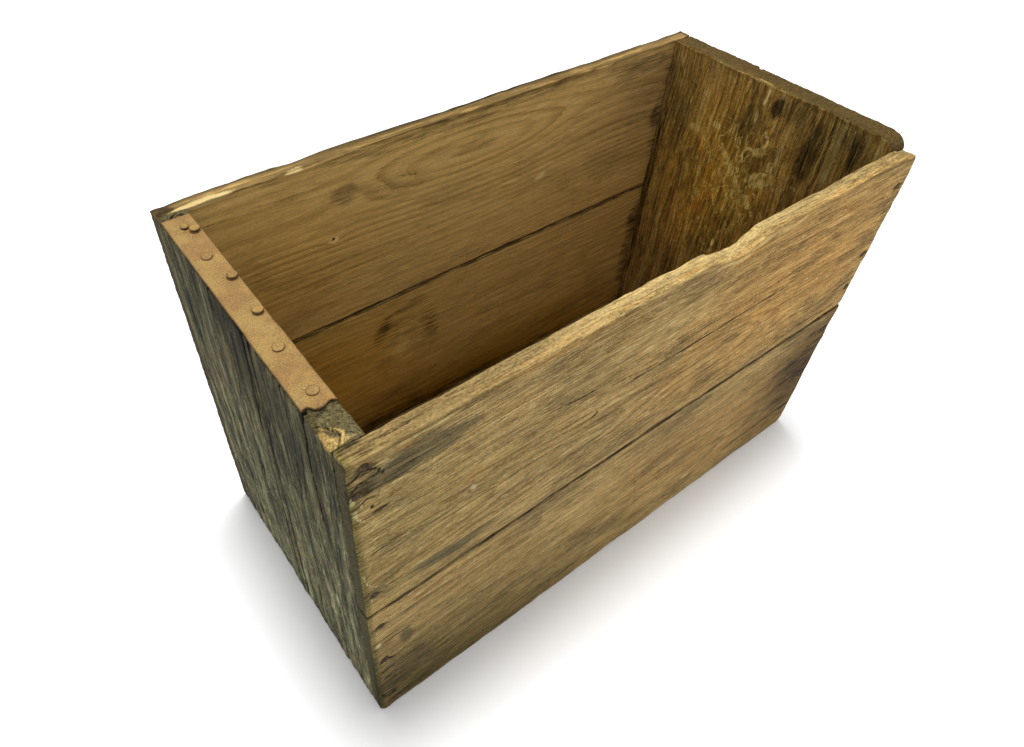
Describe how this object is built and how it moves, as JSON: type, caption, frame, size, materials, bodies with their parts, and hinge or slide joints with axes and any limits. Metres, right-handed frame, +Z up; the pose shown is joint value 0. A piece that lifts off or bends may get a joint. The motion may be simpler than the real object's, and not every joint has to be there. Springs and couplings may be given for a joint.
{
  "type": "wooden apple crate",
  "caption": "Open-topped wooden apple crate: horizontal side planks nailed over vertical-grain end boards, an inset board floor and an iron strap along the top of an end.",
  "frame": {"origin": "middle of the crate's underside, on the plane that it stands on", "axes": "+Z up out of the open top, +X along the crate from the strapped end to the other end, +Y from the front planks to the back planks"},
  "size_m": [0.51, 0.25, 0.341],
  "materials": {
    "side_plank_wood": "weathered bare softwood, warm brown with grey stains, dry and matt",
    "end_board_wood": "weathered bare softwood, grey-green outside and orange-brown inside, rough and matt",
    "floor_board_wood": "old bare softwood, dark brown and dusty",
    "strap_iron": "thin hoop iron, rusted all over, orange-brown and mottled",
    "nail_iron": "rusted iron nails"
  },
  "bodies": {
    "root": {"front_upper_plank": "side_plank_wood", "front_lower_plank": "side_plank_wood", "back_upper_plank": "side_plank_wood", "back_lower_plank": "side_plank_wood", "left_end_front_board": "end_board_wood", "left_end_back_board": "end_board_wood", "right_end_board": "end_board_wood", "floor_front_board": "floor_board_wood", "floor_middle_board": "floor_board_wood", "floor_back_board": "floor_board_wood", "top_strap": "strap_iron", "front_upper_left_nail_1": "nail_iron", "front_upper_left_nail_2": "nail_iron", "front_upper_left_nail_3": "nail_iron", "front_lower_left_nail_1": "nail_iron", "front_lower_left_nail_2": "nail_iron", "front_lower_left_nail_3": "nail_iron", "front_upper_right_nail_1": "nail_iron", "front_upper_right_nail_2": "nail_iron", "front_upper_right_nail_3": "nail_iron", "front_lower_right_nail_1": "nail_iron", "front_lower_right_nail_2": "nail_iron", "front_lower_right_nail_3": "nail_iron", "back_upper_left_nail_1": "nail_iron", "back_upper_left_nail_2": "nail_iron", "back_upper_left_nail_3": "nail_iron", "back_lower_left_nail_1": "nail_iron", "back_lower_left_nail_2": "nail_iron", "back_lower_left_nail_3": "nail_iron", "back_upper_right_nail_1": "nail_iron", "back_upper_right_nail_2": "nail_iron", "back_upper_right_nail_3": "nail_iron", "back_lower_right_nail_1": "nail_iron", "back_lower_right_nail_2": "nail_iron", "back_lower_right_nail_3": "nail_iron", "left_floor_nail_1": "nail_iron", "left_floor_nail_2": "nail_iron", "left_floor_nail_3": "nail_iron", "left_floor_nail_4": "nail_iron", "left_floor_nail_5": "nail_iron", "left_floor_nail_6": "nail_iron", "right_floor_nail_1": "nail_iron", "right_floor_nail_2": "nail_iron", "right_floor_nail_3": "nail_iron", "right_floor_nail_4": "nail_iron", "right_floor_nail_5": "nail_iron", "right_floor_nail_6": "nail_iron", "strap_nail_1": "nail_iron", "strap_nail_2": "nail_iron", "strap_nail_3": "nail_iron", "strap_nail_4": "nail_iron", "strap_nail_5": "nail_iron", "strap_nail_6": "nail_iron", "strap_nail_7": "nail_iron"}
  },
  "joints": []
}
